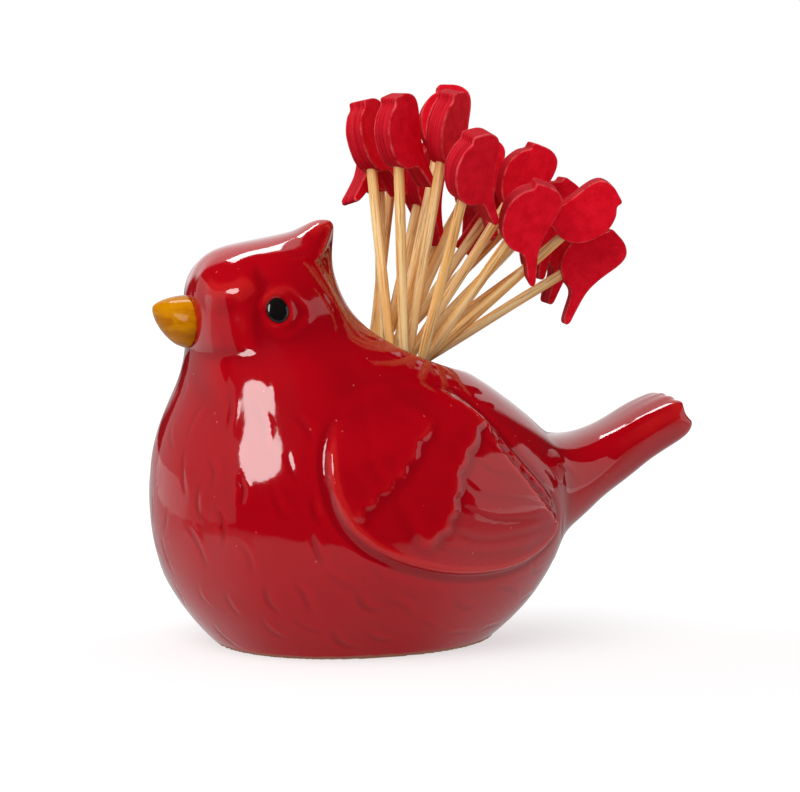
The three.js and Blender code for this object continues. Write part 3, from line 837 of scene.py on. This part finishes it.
# %% Red glaze
def red_glaze():
    material, paint = new_paint("red_glaze")
    where = paint.places()
    thin = paint.attribute("thin_glaze")
    cloud = paint.noise(where, 38, 3)
    body = paint.blend(cloud, colour(160, 0, 13), colour(176, 2, 18))
    body = paint.blend(paint.ramp(thin, 0.5, 1) * 0.4, body, colour(206, 40, 36))
    body = paint.blend((1 - paint.ramp(thin, 0, 0.4)) * 0.5, body, colour(118, 0, 12))
    specks = paint.node("TexVoronoi", None, {"Vector": where, "Scale": 210}, out="Distance")
    body = paint.blend((1 - paint.ramp(specks, 0.035, 0.06)) * 0.35, body, colour(235, 120, 105))
    up = paint.node("SeparateXYZ", None, {"Vector": where}, out="Z")
    edge = up + (paint.noise(where, 260, 3) - 0.5) * (0.6 * mm)
    bare = 1 - paint.ramp(edge, 0.4 * mm, 1.1 * mm)
    skin = paint.noise(where, 420, 2)
    paint.surface({
        "Base Color": paint.blend(bare, body, colour(160, 104, 78)),
        "Roughness": bare * 0.7 + skin * 0.03 + 0.05,
        "IOR": 1.5,
        "Normal": paint.bump(skin, 0.02 * mm),
    })
    return material


def wear(made, material, body, slot, *hidden_nodes):
    """Gives a finished piece its material and body and hides the CAD nodes it stands for; slot is not
    used.
    """
    made.data.materials.clear()
    made.data.materials.append(material)
    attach(made, body)
    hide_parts(*hidden_nodes)


wear(songbird, red_glaze(), "holder", "red_glaze", "bird_casting")
print("songbird wears", songbird.data.materials[0].name)


# %% [markdown]
# ## The beak
# The beak is a short blunt cone, thrown thick in ochre glaze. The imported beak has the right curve
# where it meets the face, so its copy is merged, turned into fine even faces and smoothed.

# %% The beak
def fine_copy(name, node, voxel_size, rounds):
    bm = bmesh.new()
    bm.from_mesh(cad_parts[node].data)
    bmesh.ops.remove_doubles(bm, verts=bm.verts, dist=merge_distance)
    made = new_object(name, bm)
    modify(made, "REMESH", mode="VOXEL", voxel_size=voxel_size, use_smooth_shade=True)
    settle(made)
    pairs = neighbour_pairs(made.data)
    put_vertices(made.data, averaged(vertex_array(made.data, "co"), pairs, rounds, 0.5))
    return made


def swell(made, factors):
    """Scales a piece about its own middle, so that its seat is covered."""
    place = vertex_array(made.data, "co")
    middle = (place.min(0) + place.max(0)) / 2
    put_vertices(made.data, middle + (place - middle) * factors)


beak_swell, eye_swell = (1.17, 1.24, 1.05), (1, 1, 1.1)
beak = fine_copy("songbird_beak", "beak", 0.25 * mm, 6)
swell(beak, beak_swell)
material, paint = new_paint("ochre_glaze")
where = paint.places()
streaks = paint.noise(paint.stretched(where, (60, 160, 420)), 1, 4, 0.6)
amber = paint.blend(paint.ramp(streaks, 0.35, 0.7), colour(196, 126, 2), colour(164, 92, 0))
cloud = paint.noise(where, 300, 3)
amber = paint.blend(paint.ramp(cloud, 0.5, 0.75) * 0.4, amber, colour(206, 140, 8))
paint.surface({
    "Base Color": amber,
    "Roughness": cloud * 0.05 + 0.06,
    "Specular IOR Level": 0.08,
    "Normal": paint.bump(cloud, 0.02 * mm),
})
wear(beak, material, "holder", "yellow_glaze", "beak")
print("beak faces", len(beak.data.polygons))

# %% [markdown]
# ## The eyes
# Each eye is a drop of black glaze that drew itself into a dome. A dome can be spun from a curve, but
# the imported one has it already: a fine smooth copy keeps its seat in the lid.

# %% The eyes
material, paint = new_paint("black_glaze")
where = paint.places()
cloud = paint.noise(where, 500, 3)
paint.surface({
    "Base Color": paint.blend(cloud, colour(8, 8, 9), colour(26, 22, 22)),
    "Roughness": cloud * 0.06 + 0.07,
    "IOR": 1.5,
    "Normal": paint.bump(cloud, 0.01 * mm),
})
for node, name in (("left_eye", "songbird_eye_left"), ("right_eye", "songbird_eye_right")):
    eye = fine_copy(name, node, 0.14 * mm, 8)
    swell(eye, eye_swell)
    wear(eye, material, "holder", "black_glaze", node)
    print(name, "faces", len(eye.data.polygons))


# %% [markdown]
# ## The picks
# All picks are alike: a round bamboo skewer, and a tag sawn from thin board in a bird's outline,
# painted and pushed on. One of each is made lying along its own axes: x across the tag towards its
# tail, y out along the skewer, z square to the board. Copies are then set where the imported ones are.

# %% Where each pick is
def pick_axes(number):
    """The matrix that puts a pick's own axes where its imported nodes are."""
    stick = vertex_array(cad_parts[f"pick_{number}_shaft"].data, "co")
    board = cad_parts[f"pick_{number}_tag"].data
    corners = vertex_array(board, "co")
    along = np.linalg.svd(stick - stick.mean(0), full_matrices=False)[2][0]
    along *= np.sign(along @ (corners.mean(0) - stick.mean(0)))
    spread = sum(face.area * np.outer(face.normal, face.normal) for face in board.polygons)
    square = np.linalg.eigh(spread)[1][:, -1]
    across = np.cross(along, square)
    foot = stick.mean(0)
    reach = (corners - foot) @ across
    across *= np.sign(reach.max() + reach.min())
    enters = foot + along * (((stick - foot) @ along).max() - bore_depth)
    axes = Matrix((across, along, np.cross(across, along))).transposed().to_4x4()
    return Matrix.Translation(enters) @ axes


pick_length, shaft_width, point_length, point_width = 119 * mm, 2.35 * mm, 9 * mm, 0.5 * mm
tag_rise, tag_width, tag_thickness, bore_depth = 16.5 * mm, 11.5 * mm, 4.5 * mm, 8 * mm
arris_width, ring_width, inset_width = 0.32 * mm, 0.5 * mm, 0.2 * mm
drill_play, drill_past = 0.12 * mm, 4 * mm

# %% [markdown]
# The board is sawn along a smooth outline. It starts as one flat face, is pushed up to the board's
# thickness, and its two rims are bevelled, because sanding and paint leave no sharp arris. The hole
# for the skewer is drilled from the belly with a Boolean.

# %% One tag
tag_outline = [
    [-0.27, 0.94], [-0.13, 0.975], [0.08, 1], [0.28, 0.97], [0.4, 0.88], [0.455, 0.72], [0.475, 0.52],
    [0.51, 0.34], [0.58, 0.17], [0.7, 0.01], [0.83, -0.14], [0.915, -0.24], [0.91, -0.3],
    [0.83, -0.31], [0.7, -0.23], [0.55, -0.11], [0.42, -0.02], [0.28, 0.005], [0.12, -0.01],
    [-0.06, 0.015], [-0.24, 0.09], [-0.38, 0.22], [-0.47, 0.38], [-0.5, 0.53], [-0.46, 0.66],
    [-0.37, 0.78], [-0.27, 0.86],
]


def sawn_tag():
    curve = curve_through(tag_outline, closed=True)(np.arange(0, len(tag_outline), 0.25))
    bm = bmesh.new()
    rim = [bm.verts.new((x * tag_width, y * tag_rise, -tag_thickness / 2)) for x, y in curve]
    face = bm.faces.new(rim)
    grown = bmesh.ops.extrude_face_region(bm, geom=[face])["geom"]
    top = [v for v in grown if isinstance(v, bmesh.types.BMVert)]
    bmesh.ops.translate(bm, verts=top, vec=(0, 0, tag_thickness))
    bmesh.ops.recalc_face_normals(bm, faces=bm.faces)
    arris = [e for e in bm.edges if abs(e.verts[0].co.z - e.verts[1].co.z) < 1e-6]
    bmesh.ops.bevel(bm, geom=arris, offset=arris_width, segments=3, profile=0.5,
                    affect="EDGES", material=-1)
    for level in (ring_width - tag_thickness / 2, tag_thickness / 2 - ring_width):
        bmesh.ops.bisect_plane(bm, geom=bm.verts[:] + bm.edges[:] + bm.faces[:], dist=0.0001 * mm,
                               plane_co=(0, 0, level), plane_no=(0, 0, 1))
    bm.normal_update()
    flats = [face for face in bm.faces if abs(face.normal.z) > 0.99]
    bmesh.ops.inset_region(bm, faces=flats, thickness=inset_width, use_even_offset=True)
    return bm


drill_radius = shaft_width / 2 + drill_play
drill_middle = Vector((0, (bore_depth - drill_past) / 2, 0))
drill_place = Matrix.Translation(drill_middle) @ Matrix.Rotation(math.pi / 2, 4, "X")
bm = bmesh.new()
bmesh.ops.create_cone(bm, cap_ends=True, segments=28, radius1=drill_radius, radius2=drill_radius,
                      depth=bore_depth + drill_past, matrix=drill_place)
drill = new_object("drill", bm)
one_tag = new_object("one_tag", sawn_tag())
modify(one_tag, "BOOLEAN", operation="DIFFERENCE", object=drill, solver="EXACT")
settle(one_tag)
bpy.data.objects.remove(drill)
print("tag faces", len(one_tag.data.polygons))

# %% [markdown]
# A skewer is drawn through a round die, so it is a plain rod with a turned point. Its profile is
# spun about the y axis. Bamboo is split wood: each copy later gets slight bows and flats of its own.

# %% One skewer
def spun_skewer():
    bottom, top, radius = tag_rise - pick_length, bore_depth, shaft_width / 2
    point_end = bottom + point_length
    stops = [(0, bottom), (point_width / 2, bottom + 0.15 * mm)]
    stops += [(radius * 0.8, bottom + point_length * 0.75), (radius, point_end)]
    stops += [(radius, level) for level in np.linspace(point_end + 3 * mm, top, 34)] + [(0, top)]
    bm = bmesh.new()
    verts = [bm.verts.new((out, level, 0)) for out, level in stops]
    edges = [bm.edges.new(pair) for pair in zip(verts[:-1], verts[1:])]
    bmesh.ops.spin(bm, geom=verts + edges, cent=(0, 0, 0), axis=(0, 1, 0), angle=math.tau, steps=20,
                   use_merge=True)
    bmesh.ops.remove_doubles(bm, verts=bm.verts, dist=merge_distance)
    bmesh.ops.recalc_face_normals(bm, faces=bm.faces)
    return bm


one_skewer = new_object("one_skewer", spun_skewer())
print("skewer faces", len(one_skewer.data.polygons))

# %% [markdown]
# ## Bamboo and painted wood
# Wood is a pattern of fibres that runs along a piece, whatever way the piece points. Both materials
# therefore read an attribute with the pick's own axes, moved on a little for each pick, so that the
# fibres follow every skewer and no two tags are alike.

# %% Bamboo
def bamboo_fibres():
    material, paint = new_paint("bamboo_fibres")
    own = paint.attribute("own_axes", "Vector")
    fibres = paint.noise(paint.stretched(own, (2600, 60, 2600)), 1, 4, 0.65)
    bands = paint.noise(paint.stretched(own, (700, 22, 700)), 1, 2)
    wood = paint.blend(paint.ramp(bands, 0.35, 0.65), colour(242, 184, 106), colour(255, 226, 166))
    wood = paint.blend((1 - paint.ramp(fibres, 0.36, 0.5)) * 0.75, wood, colour(186, 114, 48))
    wood = paint.blend(paint.ramp(fibres, 0.6, 0.78) * 0.4, wood, colour(255, 236, 196))
    paint.surface({
        "Base Color": wood,
        "Roughness": 0.72 - bands * 0.25,
        "Specular IOR Level": 0.2,
        "Normal": paint.bump(fibres, 0.08 * mm),
    })
    return material


# %% Painted wood
def painted_wood():
    material, paint = new_paint("painted_wood")
    own = paint.attribute("own_axes", "Vector")
    arris, sawn = paint.attribute("arris"), paint.attribute("sawn")
    fibres = paint.noise(paint.stretched(own, (1500, 260, 1500)), 1, 5, 0.7)
    layers = paint.noise(paint.stretched(own, (50, 50, 3600)), 1, 1)
    mottle = paint.noise(own, 420, 4, 0.6)
    coat = paint.blend(paint.ramp(mottle, 0.3, 0.7), colour(216, 2, 28), colour(234, 14, 40))
    coat = paint.blend(paint.ramp(fibres, 0.58, 0.75) * 0.3, coat, colour(208, 34, 52))
    coat = paint.blend((1 - paint.ramp(fibres, 0.3, 0.42)) * 0.4, coat, colour(140, 0, 16))
    edge = paint.blend(paint.ramp(layers, 0.5, 0.62), colour(176, 0, 24), colour(198, 26, 42))
    edge = paint.blend((1 - paint.ramp(layers, 0.36, 0.46)) * 0.7, edge, colour(136, 0, 16))
    coat = paint.blend(sawn * 0.85, coat, edge)
    rubbed = arris * paint.ramp(mottle + fibres * 0.5, 0.55, 0.95)
    coat = paint.blend(rubbed * 0.6, coat, colour(226, 104, 104))
    paint.surface({
        "Base Color": coat,
        "Roughness": 0.72 - mottle * 0.12,
        "Specular IOR Level": 0.06,
        "Normal": paint.bump(fibres + mottle * 0.5, 0.12 * mm),
    })
    return material


# %% [markdown]
# ## Setting the picks
# Each copy of the skewer bends in a way of its own. The vector noise that bends it starts from the
# clock unless it is given a seed, so it is given one: every run has to make the same bunch.

# %% Bows, flats and worn edges
noise.seed_set(5)
bow_height, flat_height = 0.14 * mm, 0.09 * mm
next_in_the_wood = np.array([0.031, 0.17, 0.013])


def bend_bamboo(mesh, number):
    """Gives a skewer its own slight bows and flats, but keeps its point and the end in the bore."""
    own, own_normal = vertex_array(mesh, "co"), vertex_array(mesh, "normal")
    seed = Vector((3.1 * number, 0, 0))
    bows = np.array([noise.noise_vector(Vector((0, v[1] * 55, 0)) + seed) for v in own])
    flats = np.array([
        noise.noise(Vector((n[0], v[1] * 30, n[2])) * 1.4 + seed) for v, n in zip(own, own_normal)
    ])
    free = ramp(-own[:, 1], 2 * mm, 14 * mm) * ramp(own[:, 1], -100 * mm, -85 * mm)
    sideways = bows * (bow_height * free)[:, None] + own_normal * (flats * flat_height)[:, None]
    put_vertices(mesh, own + sideways * [1, 0, 1])


def mark_board(mesh):
    """Marks a tag's rounded arris and its sawn edge, which the paint covers less well."""
    tilt = np.abs(vertex_array(mesh, "normal")[:, 2])
    keep_attribute(mesh, "arris", (tilt > 0.12) & (tilt < 0.97))
    keep_attribute(mesh, "sawn", tilt < 0.5)


# %% Setting eighteen picks
def set_copy(name, model, axes, number):
    """A copy of a model piece with its own axes kept as an attribute, set in its place."""
    mesh = model.data.copy()
    keep_attribute(mesh, "own_axes", vertex_array(mesh, "co") + next_in_the_wood * number)
    if model == one_skewer:
        bend_bamboo(mesh, number)
    mesh.transform(axes)
    made = bpy.data.objects.new(name, mesh)
    mesh.name = name
    scene.collection.objects.link(made)
    return made


shade_smooth(one_skewer.data)
mark_board(one_tag.data)
wood, painted = bamboo_fibres(), painted_wood()
for index in range(1, 19):
    number = f"{index:02d}"
    axes = pick_axes(number)
    skewer = set_copy(f"skewer_{number}", one_skewer, axes, index)
    wear(skewer, wood, f"pick_{number}", "bamboo", f"pick_{number}_shaft")
    tag = set_copy(f"wooden_bird_{number}", one_tag, axes, index)
    wear(tag, painted, f"pick_{number}", "painted_wood", f"pick_{number}_tag")
for model in (one_skewer, one_tag):
    bpy.data.objects.remove(model)
print("picks set", index)
